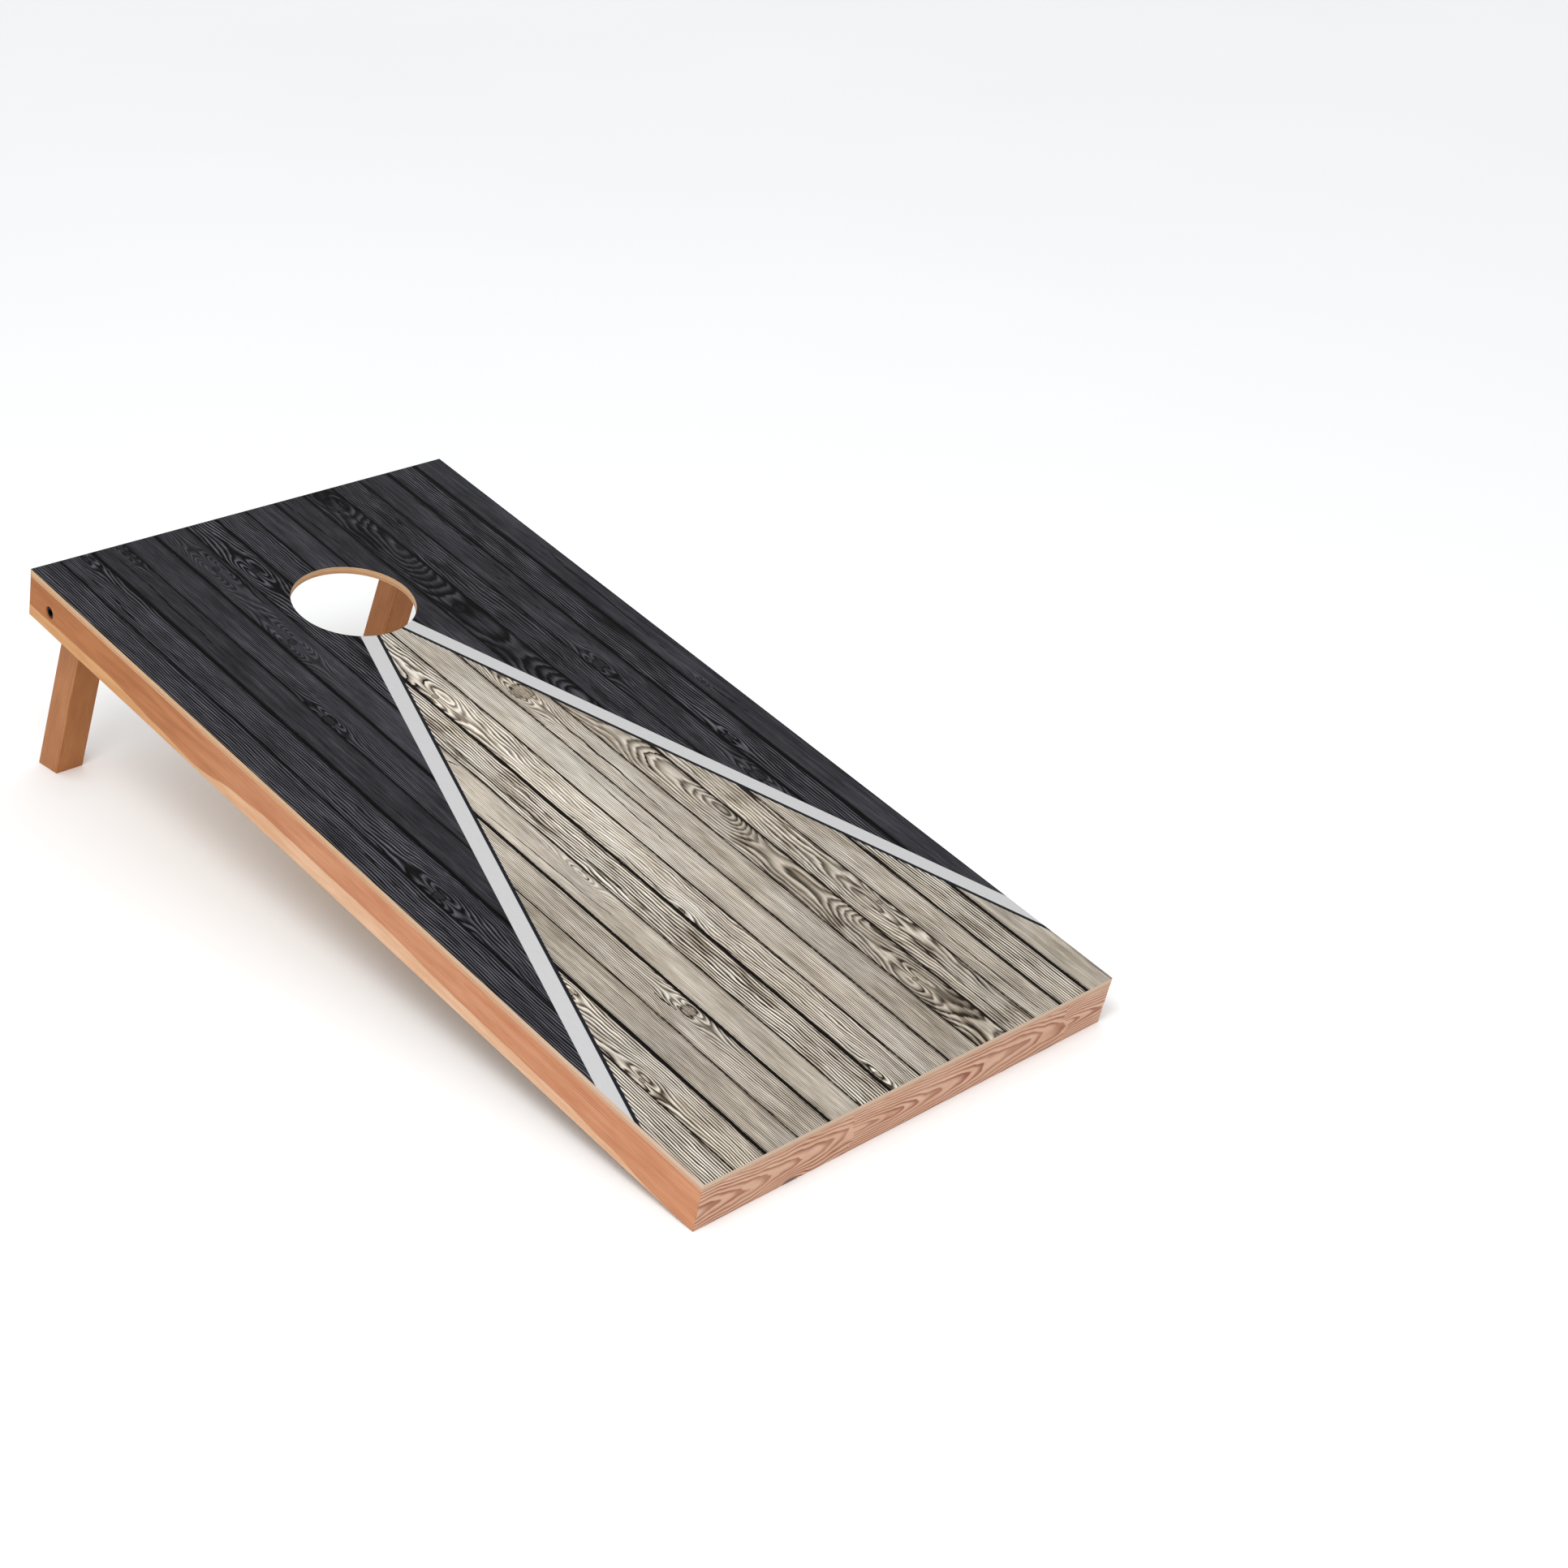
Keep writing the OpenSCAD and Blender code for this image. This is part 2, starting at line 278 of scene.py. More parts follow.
    def place(self, matrix):
        """x, y and z in millimetres, in the frame that matrix places in the scene."""
        coordinates = self.tree.nodes.new("ShaderNodeTexCoord")
        mapping = self.tree.nodes.new("ShaderNodeMapping")
        mapping.vector_type = "TEXTURE"
        mapping.inputs["Location"].default_value = matrix.to_translation()
        mapping.inputs["Rotation"].default_value = matrix.to_euler()
        mapping.inputs["Scale"].default_value = (MM, MM, MM)
        self.tree.links.new(coordinates.outputs["Object"], mapping.inputs["Vector"])
        return self.parts(Term(self, mapping.outputs["Vector"]))


# ---------------------------------------------------------------------------
# The printed skin: weathered planks, in millimetres from the deck's back left corner
# ---------------------------------------------------------------------------

PLANK_W = 44.0
FIRST_SEAM = -5.0
# Half the width of the gap at each seam, from the left
SEAM_GAPS = (0.6, 0.8, 1.9, 0.6, 1.7, 0.7, 1.8, 0.8, 0.9, 0.7, 1.0, 0.7, 1.5, 2.0, 0.6)
# Each plank from the left: its line spacing, line strength and blotches, each from 0 to 1
PLANK_LINES = ((0.42, 1.0, 0.3), (0.35, 0.8, 0.3), (0.08, 0.55, 0.1), (0.12, 0.65, 0.15),
               (0.05, 0.35, 0.1), (0.55, 0.95, 0.9), (0.45, 0.75, 0.35), (0.18, 0.75, 0.05),
               (0.12, 0.6, 0.3), (0.4, 0.52, 0.9), (0.5, 0.6, 0.9), (0.3, 0.55, 0.4),
               (0.5, 0.9, 0.85), (0.05, 0.4, 0.1))
# Each plank's waviness, arched figure and paleness, each from 0 to 1
PLANK_FIGURE = ((0.5, 0.0, 0.4), (0.7, 0.1, 0.5), (0.3, 0.0, 0.42), (0.4, 0.1, 0.47),
                (0.3, 0.0, 0.62), (0.8, 0.1, 0.36), (1.0, 0.2, 0.52), (0.1, 0.0, 0.5),
                (0.5, 0.1, 0.44), (1.0, 0.9, 0.36), (1.0, 0.4, 0.48), (0.4, 0.0, 0.56),
                (0.5, 0.1, 0.42), (0.2, 0.0, 0.6))
# Knots: distance from the left edge, distance from the back edge, radius, pull on the lines
KNOTS = ((417, 37, 15, 20), (72, 12, 6, 12), (187, 268, 5, 22), (412, 300, 8, 14),
         (270, 437, 4, 24), (132, 419, 8, 16), (368, 477, 13, 19), (490, 474, 8, 15),
         (582, 564, 3, 7), (532, 666, 6, 12), (510, 741, 10, 16), (47, 736, 7, 20),
         (213, 781, 3, 16), (70, 930, 5, 9), (159, 1017, 8, 15), (46, 1073, 3, 14),
         (261, 888, 4, 10), (262, 1196, 6, 12), (470, 988, 3, 26), (120, 20, 4, 14),
         (196, 96, 4, 22), (236, 120, 4, 18), (410, 1105, 3, 22))
# Open cracks: distance from the left edge, start and end from the back, half width, lean
CRACKS = ((368, 492, 745, 1.6, 8), (226, 420, 880, 0.9, -5), (50, 30, 250, 0.7, 6),
          (420, 50, 110, 0.8, 2), (402, 190, 330, 0.8, 3), (455, 960, 1215, 0.9, 10),
          (147, 975, 1010, 0.9, -4), (497, 1010, 1215, 0.5, 3), (208, 60, 190, 1.8, 8),
          (243, 560, 760, 0.6, 4), (592, 200, 520, 0.7, 12), (476, 640, 860, 0.8, 12),
          (205, 540, 560, 1.0, -9), (330, 640, 790, 0.5, 6), (545, 860, 1010, 0.6, 4),
          (103, 20, 260, 0.8, 4), (500, 250, 400, 0.7, -6), (268, 780, 860, 0.9, 4),
          (432, 1000, 1190, 0.6, -8), (516, 60, 330, 0.7, 8), (20, 560, 800, 0.6, 3),
          (362, 0, 120, 0.8, -3), (186, 640, 860, 0.5, -6), (585, 560, 640, 0.6, -12))

# The two pale stripes spread from a point in the hole to the deck's sides. In order: how far that
# point is from the back, how far out they go for each millimetre forward, their width, the width
# of the dark line on their inner side, and the blur of each edge. Widths are across the deck.
STRIPE_TOP = 186.0
STRIPE_SLOPE = 0.3506
STRIPE_W = 20.6
STRIPE_LINE_W = 4.6
STRIPE_SOFT_EDGE = 0.4

# The bleached patch in the middle of the deck: its middle and its reach, across and along
BLEACHED_AT = (300.0, 640.0)
BLEACHED_REACH = (130.0, 260.0)

# Half gaps are divided by this for a colour ramp, whose values run from 0 to 1
WIDEST_GAP = 3.0


def plank_lines(g, across, along, inside, index):
    """The grain of every plank: its relief, its dark split lines and how much of it is knot."""
    spacing, strength, _ = g.pick(index, PLANK_LINES)
    waviness, arched, _ = g.pick(index, PLANK_FIGURE)

    # The lines part round each knot, as water does round a stone
    bend = 0.0
    nearest = 9.0
    for knot_across, knot_along, radius, pull in KNOTS:
        aside = across - float(knot_across)
        ahead = along - float(knot_along)
        aside_2 = aside * aside
        ahead_2 = ahead * ahead
        plank = float(math.floor((knot_across - FIRST_SEAM) / PLANK_W))
        reach = float(pull * pull)
        parted = aside * reach / (aside_2 + ahead_2 * 0.13 + reach * 0.4)
        bend = bend + parted * g.math("COMPARE", index, plank, 0.5)
        nearest = g.smallest(nearest, (aside_2 + ahead_2 * 0.7) / float(radius * radius))
    uneven = g.sway(across / 7.0, along / 7.0, 2.0) * 0.22
    ragged = g.sway(across / 2.5, along / 2.5, 3.0) * 0.3
    knot_far = g.root(nearest) + uneven + ragged

    swing = g.sway(inside / 55.0, along / 190.0, index * 7.7) * waviness * 11.0
    ripple = g.sway(inside / 12.0, along / 34.0, index * 3.3) * waviness * 2.2
    line_across = inside - bend + swing + ripple
    pith = 62.0 - arched * 47.0
    height = g.noise(along / 230.0, index * 5.1, 1.0, detail=1.0) * 150.0 - 45.0
    depth = height * (arched * 0.88 + 0.12)
    from_pith = line_across - pith + depth * arched * 0.45
    ring = g.root(from_pith * from_pith + depth * depth + 6.0) / (spacing * 3.4 + 1.9)
    ring = ring + g.sway(inside / 3.5, along / 55.0, index) * 0.3
    phase = g.fract(ring)
    ridge = g.step(phase, 0.0, 0.28) * g.step(phase, 1.0, 0.3)
    fading = g.smallest(g.noise(inside / 22.0, along / 110.0, index * 2.2) * 1.7 + 0.1, 1.0)
    relief = (ridge - 0.42) * strength * fading

    near_line = g.step(g.size(phase - 0.5), 0.36, 0.46)
    split_here = g.noise(g.floor(ring + 0.5) * 3.7, along / 75.0, index * 9.1, detail=3.0)
    splits = near_line * g.step(split_here, 0.57, 0.66)
    return relief, splits, knot_far


def weathered_planks(g, across, along):
    """How pale the weathered wood is, from 0 to 1, and how much it is stained brown."""
    drift = g.sway(across / 60.0, along / 150.0, 4.0)
    rough_edge = g.sway(across / 6.0, along / 5.0, 9.0, detail=4.0) * 0.8
    shifted = across - FIRST_SEAM + drift
    index = g.floor(shifted / PLANK_W)
    inside = shifted - (index + 0.5) * PLANK_W

    seam = g.floor(shifted / PLANK_W + 0.5)
    gap, _, _ = g.pick(seam, [(width / WIDEST_GAP, 0.0, 0.0) for width in SEAM_GAPS])
    gap = gap * WIDEST_GAP * (g.noise(along / 60.0, seam * 3.0, 5.0, detail=3.0) * 0.8 + 0.75)
    from_seam = g.size(shifted - seam * PLANK_W) + rough_edge
    seam_shade = g.step(from_seam, gap + 0.7, gap - 0.4)
    ledge = g.step(from_seam, gap + 4.5, gap)

    relief, splits, knot_far = plank_lines(g, across, along, inside, index)
    _, _, blotches = g.pick(index, PLANK_LINES)
    _, _, paleness = g.pick(index, PLANK_FIGURE)

    fine_fibres = g.sway(across / 0.55, along / 16.0, 6.0, detail=3.0)
    fibres = g.sway(inside / 1.7, along / 45.0, index, detail=3.0)
    streaks = g.sway(inside / 4.5, along / 140.0, index * 6.1, detail=3.0)
    flecks = g.step(g.noise(across / 1.1, along / 7.0, 15.0, detail=2.0), 0.66, 0.78)
    cloud = g.sway(inside / 26.0, along / 70.0, index * 1.7, detail=5.0)
    stain_noise = g.noise(inside / 15.0, along / 65.0, index * 4.4, detail=4.0, roughness=0.55)
    stain = g.step(stain_noise, 0.48, 0.7) * blotches

    cracks = splits
    wander = g.sway(across / 80.0, along / 60.0, 21.0) * 5.0 + rough_edge * 0.6
    for crack_across, start, end, half, lean in CRACKS:
        middle = (start + end) / 2.0
        reach = (end - start) / 2.0
        ahead = (along - middle) / reach
        aside = g.size(across + ahead * (lean / 2.0) - float(crack_across) + wander)
        open_share = 1.0 - g.size(ahead)
        width = g.largest(open_share, 0.0) * half
        is_open = g.step(aside, width + 0.55, width * 0.5) * g.step(open_share, 0.0, 0.1)
        cracks = g.largest(cracks, is_open)

    in_knot = g.step(knot_far, 1.05, 0.9)
    knot_rim = g.step(g.size(knot_far - 0.98), 0.2, 0.03)
    knot_rings = g.wave(knot_far * 16.0 + fibres * 2.0) * 0.05

    bleached = g.patch(across, along, BLEACHED_AT, BLEACHED_REACH)

    pale = paleness * 0.5 + 0.21 + bleached * 0.15 + relief * 0.95
    pale = pale + fine_fibres * 0.14 + fibres * 0.24 + streaks * 0.22 + cloud * 0.13
    pale = pale - stain * 0.24 - ledge * 0.14 - flecks * 0.16
    pale = pale * (1.0 - in_knot * 0.45) + (knot_rings + 0.14) * in_knot - knot_rim * 0.26
    pale = g.largest(g.smallest(pale, 1.0), 0.09)
    pale = pale * (1.0 - g.largest(seam_shade, cracks))
    return pale, g.largest(stain, in_knot * 0.6)


def printed_skin():
    """The whole print: charcoal planks outside the stripes and pale grey ones between them."""
    g = Graph("printed_skin")
    x, y, z = g.place(BOARD_AT)
    across = x + BOARD_W / MM / 2
    along = BOARD_L / MM - y
    pale, stain = weathered_planks(g, across, along)

    grey_wood = g.ramp(pale, [(0.0, srgb(8, 7, 5)), (0.12, srgb(50, 43, 36)),
                              (0.3, srgb(112, 103, 92)), (0.5, srgb(157, 148, 136)),
                              (0.68, srgb(188, 180, 168)), (0.86, srgb(220, 213, 202)),
                              (1.0, srgb(236, 231, 222))])
    warm = g.mix(stain * 0.5, grey_wood, srgb(214, 202, 182), "MULTIPLY")
    tint = g.mix(g.noise(across / 35.0, along / 140.0, 31.0), srgb(255, 250, 241), srgb(243, 247, 252))
    triangle = g.mix(1.0, warm, tint, "MULTIPLY")
    charcoal = g.ramp(pale, [(0.0, srgb(0, 0, 0)), (0.12, srgb(3, 3, 4)),
                             (0.3, srgb(18, 18, 20)), (0.5, srgb(40, 40, 44)),
                             (0.68, srgb(58, 58, 63)), (0.86, srgb(78, 78, 85)),
                             (1.0, srgb(96, 96, 103))])
    stripe_grain = g.sway(across / 1.2, along / 14.0, 17.0, detail=3.0)
    stripe = g.ramp(stripe_grain * 0.5 + 0.5,
                    [(0.0, srgb(178, 178, 179)), (1.0, srgb(192, 192, 193))])

    inwards = (along - STRIPE_TOP) * STRIPE_SLOPE - g.size(x)
    colour = charcoal
    for start, print_colour in ((0.0, stripe), (STRIPE_W, srgb(24, 27, 33)),
                                (STRIPE_W + STRIPE_LINE_W, triangle)):
        is_inside = g.step(inwards, start - STRIPE_SOFT_EDGE, start + STRIPE_SOFT_EDGE)
        colour = g.mix(is_inside, colour, print_colour)

    scuff = g.noise(across / 18.0, along / 22.0, 41.0, detail=6.0, roughness=0.65)
    return g.surface(Base_Color=colour,
                     Roughness=scuff * 0.22 + 0.45,
                     Normal=g.bump(stripe_grain, SKIN_RELIEF),
                     Specular_IOR_Level=0.05)


# ---------------------------------------------------------------------------
# Timber
# ---------------------------------------------------------------------------

# How far up the left rail the pale sapwood reaches: distance from the back, height, in mm
SAP_EDGE = ((0, 15), (170, 17), (270, 9.5), (350, 4), (440, 17.5), (500, 21.5), (700, 22),
            (830, 16), (1000, 14), (1090, 9), (1160, 1), (1219, 0))
# The same for the right rail, which the photo doesn't show: the same rise and fall, but flatter
FLAT_SAP_EDGE = [(place, height * 0.6 + 4.0) for place, height in SAP_EDGE]
# Heights are divided by this for a colour ramp, whose values run from 0 to 1
SAP_TOP = 30.0

# Millimetres between growth rings
SIDE_RAIL_RING_W = 3.1
FRONT_RAIL_RING_W = 3.3
STRAIGHT_RING_W = 2.9
# The pith of the straight timbers lies this far outside them
PITH_X = 46.0
PITH_Y = 30.0

# The front rail's knot: its middle and its reach, along the rail from the left and up it, in mm
RAIL_KNOT_AT = (132.0, 1.0)
RAIL_KNOT_REACH = (30.0, 13.0)
# How much of the front rail each group of arches takes up, in mm
ARCHES_L = 330.0

PLIES = 9.0
# Millimetres between the lines on the plywood's face
VENEER_FIGURE_W = 21.0


def timber_finish(g, colour, grain, fibres, roughness=0.42):
    """The satin sealer that all the timber has, with the grain just felt through it."""
    return g.surface(Base_Color=colour,
                     Roughness=fibres * 0.12 + roughness,
                     Normal=g.bump(grain * 0.6 + fibres * 0.4, TIMBER_RELIEF),
                     Specular_IOR_Level=0.2)


def side_rail_timber(name, seed, sap_edge):
    """Straight-grained orange timber with a pale band of sapwood along its lower edge."""
    g = Graph(name)
    x, y, z = g.place(BOARD_AT)
    from_back = BOARD_L / MM - y
    depth_in = g.size(x)
    warp = g.sway(from_back / 170.0, z / 40.0, seed + depth_in / 60.0) * 5.0
    ring = z + depth_in * 0.35 + warp
    lines = g.fract(ring / SIDE_RAIL_RING_W + g.sway(from_back / 60.0, z / 5.0, seed + 3.0) * 0.3)
    late_wood = g.step(lines, 0.35, 0.92) * g.step(lines, 1.0, 0.94)
    strength = g.noise(from_back / 140.0, z / 14.0, seed + 5.0) * 1.3
    fibres = g.noise(from_back / 26.0, z / 0.7, seed + depth_in / 0.7, detail=4.0, roughness=0.6)
    figure = g.noise(from_back / 90.0, z / 10.0, seed + 8.0, detail=3.0)

    # The rail's colour runs from darker and more orange at the back to paler towards the front
    forward = g.step(from_back, 150.0, 620.0)
    deep = g.mix(forward, srgb(166, 100, 46), srgb(196, 132, 92))
    bright = g.mix(forward, srgb(190, 124, 66), srgb(213, 154, 115))
    heart = g.mix(g.step(figure, 0.25, 0.75), deep, bright)
    heart = g.mix(late_wood * strength * 0.42, heart, srgb(146, 78, 40))
    sap_deep = g.mix(forward, srgb(206, 150, 92), srgb(220, 174, 136))
    sap_bright = g.mix(forward, srgb(218, 168, 112), srgb(231, 195, 162))
    sap = g.mix(g.step(figure, 0.3, 0.7), sap_deep, sap_bright)
    sap = g.mix(late_wood * strength * 0.22, sap, srgb(196, 138, 90))
    rail_l = BOARD_L / MM
    stops = [(place / rail_l, (height / SAP_TOP, 0.0, 0.0, 1.0)) for place, height in sap_edge]
    edge, _, _ = g.parts(g.ramp(from_back / rail_l, stops, "EASE"))
    above = z - edge * SAP_TOP + g.sway(from_back / 25.0, z / 4.0, seed + 9.0)
    colour = g.mix(g.step(above, -1.2, 1.6), sap, heart)
    rim = g.step(g.size(above - 1.0), 2.2, 0.4) * 0.18
    colour = g.mix(rim, colour, srgb(170, 104, 62))
    colour = g.mix((fibres - 0.5) * 0.5 + 0.25, colour, srgb(150, 96, 60), "MULTIPLY")
    return timber_finish(g, colour, late_wood, fibres)


def front_rail_timber():
    """Flat-sawn pinkish timber: nested arches round a wavering pith, and a knot at the bottom."""
    g = Graph("front_rail_timber")
    x, y, z = g.place(BOARD_AT)
    along = x + BOARD_W / MM / 2
    knot_far = g.far(along, z, RAIL_KNOT_AT, RAIL_KNOT_REACH)
    swirl = g.patch(along, z, RAIL_KNOT_AT, RAIL_KNOT_REACH)

    # The rings lie round a pith behind the rail's face. It slopes away from the face towards the
    # right and then starts again, which makes groups of arches that point to the right.
    slope = g.fract(along / ARCHES_L + 0.35 + g.sway(along / 90.0, z / 60.0, 3.0) * 0.12)
    behind = slope * 30.0 + 3.0 + g.sway(along / 45.0, z / 22.0, 5.0) * 2.6 + y * 0.8
    above = z - 26.0 - g.sway(along / 140.0, 1.0, 7.0) * 12.0
    ring = g.root(behind * behind + above * above * 0.9) + swirl * 9.0
    phase = g.fract(ring / FRONT_RAIL_RING_W + g.sway(along / 26.0, z / 7.0, 8.0) * 0.16)
    late_wood = g.step(phase, 0.25, 0.8) * g.step(phase, 1.0, 0.9)
    strength = g.noise(along / 60.0, z / 18.0, 9.0) * 1.1 + 0.25
    fibres = g.noise(along / 22.0, z / 0.7, y / 0.7, detail=4.0, roughness=0.6)
    base = g.ramp(g.noise(along / 70.0, z / 14.0, 11.0, detail=3.0),
                  [(0.25, srgb(206, 163, 134)), (0.75, srgb(223, 188, 162))])
    colour = g.mix(g.smallest(late_wood * strength, 1.0), base, srgb(150, 90, 64))
    knot_core = g.step(knot_far, 0.2, 0.03)
    colour = g.mix(knot_core * 0.8, colour, srgb(104, 62, 56))
    colour = g.mix((fibres - 0.5) * 0.5 + 0.22, colour, srgb(168, 124, 104), "MULTIPLY")
    return timber_finish(g, colour, late_wood, fibres)


def straight_timber(name, matrix, seed, pale, mid, dark, roughness=0.42):
    """Straight-grained timber whose grain runs along z of the frame that matrix places."""
    g = Graph(name)
    x, y, z = g.place(matrix)
    from_pith_x = x + PITH_X + g.sway(z / 130.0, x / 40.0, seed) * 3.0
    from_pith_y = y + PITH_Y + g.sway(z / 130.0, y / 40.0, seed + 2.0) * 3.0
    ring = g.root(from_pith_x * from_pith_x + from_pith_y * from_pith_y)
    phase = g.fract(ring / STRAIGHT_RING_W + g.sway(x / 9.0, y / 9.0, z / 90.0) * 0.3)
    late_wood = g.step(phase, 0.3, 0.9) * g.step(phase, 1.0, 0.93)
    strength = g.noise(x / 16.0, y / 16.0, z / 110.0) * 1.2
    fibres = g.noise(x / 0.7, y / 0.7, z / 26.0 + seed, detail=4.0, roughness=0.6)
    figure = g.noise(x / 18.0, y / 18.0, z / 80.0 + seed, detail=3.0)
    colour = g.ramp(figure, [(0.25, mid), (0.75, pale)])
    colour = g.mix(late_wood * strength * 0.6, colour, dark)
    colour = g.mix((fibres - 0.5) * 0.5 + 0.25, colour, dark, "MULTIPLY")
    return timber_finish(g, colour, late_wood, fibres, roughness=roughness)


def plywood():
    """Birch plywood: thin plies at the edge, darker in its lower half, and a rotary-cut face."""
    g = Graph("plywood")
    x, y, z = g.place(BOARD_AT)
    top = DECK_TOP / MM
    bottom = RAIL_H / MM
    waver = g.sway(x / 60.0, y / 60.0, z / 3.0) * 0.12
    layer = (z - bottom) / (top - bottom) * PLIES + waver
    index = g.floor(layer)
    inside = g.fract(layer)
    cross_grain = g.fract(index * 0.5) * 2.0
    glue = g.step(g.size(inside - 0.5), 0.40, 0.49)
    pores = g.noise(x / 0.5, y / 0.5, z / 0.35, detail=3.0)
    streak = g.noise(x / 14.0, y / 14.0, index * 3.0 + z / 2.0, detail=3.0)
    long_ply = g.ramp(streak, [(0.2, srgb(202, 161, 120)), (0.8, srgb(226, 196, 158))])
    end_ply = g.ramp(streak * 0.5 + pores * 0.5,
                     [(0.2, srgb(160, 118, 80)), (0.8, srgb(200, 161, 120))])
    edge = g.mix(g.step(cross_grain, 0.4, 0.6), long_ply, end_ply)
    edge = g.mix(glue * 0.55, edge, srgb(122, 80, 48))
    forward = g.step(y, BOARD_L / MM * 0.6, 0.0)
    edge = g.mix(forward * 0.6, edge, srgb(196, 176, 162))
    edge = g.mix(g.step(layer, PLIES * 0.5, PLIES * 0.4) * 0.5, edge, srgb(176, 126, 94))

    sweep = g.sway(x / 150.0, y / 420.0, 3.0) * 46.0
    figure = g.fract((x + sweep) / VENEER_FIGURE_W + g.sway(x / 14.0, y / 90.0, 5.0) * 0.5)
    vein = g.step(figure, 0.2, 0.85) * g.step(figure, 1.0, 0.88)
    fibres = g.noise(x / 0.8, y / 30.0, 7.0, detail=4.0)
    face = g.ramp(g.noise(x / 60.0, y / 260.0, 9.0, detail=3.0),
                  [(0.3, srgb(208, 172, 130)), (0.7, srgb(226, 194, 154))])
    face = g.mix(vein * 0.22, face, srgb(168, 122, 80))
    face = g.mix(fibres * 0.3, face, srgb(190, 150, 112), "MULTIPLY")
    is_face = g.step(z, bottom + 0.35, bottom + 0.15)
    colour = g.mix(is_face, edge, face)
    return timber_finish(g, colour, glue, pores, roughness=0.5)


def steel(name, dark, bright, roughness):
    """Plated or blackened steel with fine tool marks and uneven shine."""
    g = Graph(name)
    x, y, z = g.place(Matrix.Identity(4))
    cloud = g.noise(x / 3.0, y / 3.0, z / 3.0, detail=4.0, roughness=0.6)
    marks = g.noise(x / 0.15, y / 0.6, z / 0.6, detail=2.0)
    colour = g.ramp(cloud, [(0.3, dark), (0.7, bright)])
    return g.surface(Base_Color=colour,
                     Metallic=1.0,
                     Roughness=cloud * 0.2 + marks * 0.1 + roughness,
                     Normal=g.bump(marks, STEEL_RELIEF))


def nylon():
    """The blue nylon of a lock nut's ring, a little uneven and slightly translucent."""
    g = Graph("nylon")
    x, y, z = g.place(Matrix.Identity(4))
    cloud = g.noise(x / 1.5, y / 1.5, z / 1.5, detail=3.0)
    colour = g.ramp(cloud, [(0.3, srgb(36, 88, 176)), (0.7, srgb(54, 108, 196))])
    return g.surface(Base_Color=colour,
                     Roughness=cloud * 0.2 + 0.4,
                     Normal=g.bump(cloud, NYLON_RELIEF),
                     Subsurface_Weight=0.05)


def studio_floor():
    """Matt white, a shade cool, because the orange timber warms it."""
    g = Graph("studio_floor")
    x, y, z = g.place(Matrix.Identity(4))
    patch = g.noise(x / 900.0, y / 900.0, 0.0, detail=3.0)
    colour = g.ramp(patch, [(0.0, srgb(248, 250, 251)), (1.0, srgb(252, 254, 255))])
    return g.surface(Base_Color=colour,
                     Roughness=0.9,
                     Specular_IOR_Level=0.0)


# ---------------------------------------------------------------------------
# Dressing the CAD nodes
# ---------------------------------------------------------------------------


def dress(node, material, ease=0.0):
    """Gives a CAD node its material, and eases its sharp edges by that width."""
    piece = NODES[node]
    piece.data.materials.clear()
    piece.data.materials.append(material)
    if ease:
        weld = piece.modifiers.new("weld", "WELD")
        weld.merge_threshold = 0.01 * MM
        flatten = piece.modifiers.new("merge_flat_faces", "DECIMATE")
        flatten.decimate_type = "DISSOLVE"
        flatten.angle_limit = math.radians(1)
        bevel = piece.modifiers.new("eased_edges", "BEVEL")
        bevel.width = ease
        bevel.segments = 2
        bevel.limit_method = "ANGLE"
        bevel.angle_limit = math.radians(40)
        bevel.use_clamp_overlap = False
        bevel.harden_normals = True


def leg_frame(leg):
    """Places a frame whose z runs up the leg and whose origin is at its bolt."""
    return Matrix.Translation(PIVOT[leg]) @ Matrix.Rotation(LEG_LEAN, 4, "X")


def inner_timber(name, matrix, seed):
    """Bare straight-grained timber, for what lies under the deck."""
    return straight_timber(name, matrix, seed, *INNER_COLOURS, INNER_ROUGHNESS)


# Pale, middle and dark wood of the stained timber, and of the bare timber inside
LEG_COLOURS = (srgb(194, 134, 80), srgb(175, 113, 62), srgb(142, 81, 40))
INNER_COLOURS = (srgb(226, 186, 138), srgb(206, 160, 112), srgb(166, 116, 74))
# The board's own frame, turned so that its z runs forward along the deck, and across it
ALONG_Y = BOARD_AT @ Matrix.Rotation(math.radians(-90), 4, "X")
ALONG_X = BOARD_AT @ Matrix.Rotation(math.radians(90), 4, "Y")

EASE = 0.6 * MM
LEG_EASE = 1.0 * MM
INNER_ROUGHNESS = 0.6

dress("deck_graphic", printed_skin())
dress("deck_panel", plywood())
dress("front_rail", front_rail_timber(), EASE)
dress("left_rail", side_rail_timber("left_rail_timber", 2.0, SAP_EDGE), EASE)
dress("right_rail", side_rail_timber("right_rail_timber", 40.0, FLAT_SAP_EDGE), EASE)
dress("back_rail", straight_timber("back_rail_timber", ALONG_X, 17.0, *LEG_COLOURS), EASE)
for side, seed in (("left", 5.0), ("right", 9.0)):
    leg = side + "_leg"
    dress(leg, straight_timber(leg + "_timber", leg_frame(leg), seed, *LEG_COLOURS), LEG_EASE)
    block = inner_timber(side + "_block_timber", ALONG_Y, seed + 20.0)
    dress(side + "_leg_block", block, EASE)
    corner = inner_timber(side + "_corner_timber", BOARD_AT, seed + 30.0)
    dress(side + "_corner_block", corner, EASE)
dress("centre_brace", inner_timber("brace_timber", ALONG_X, 51.0), EASE)
dress("mitre_biscuits", inner_timber("beech", BOARD_AT, 61.0))

black_steel = steel("black_steel", srgb(16, 16, 18), srgb(38, 38, 41), 0.32)
zinc = steel("zinc_steel", srgb(150, 152, 156), srgb(196, 198, 202), 0.25)
yellow_zinc = steel("screw_steel", srgb(168, 140, 84), srgb(206, 184, 128), 0.3)
blue_nylon = nylon()
dress("deck_screws", yellow_zinc)

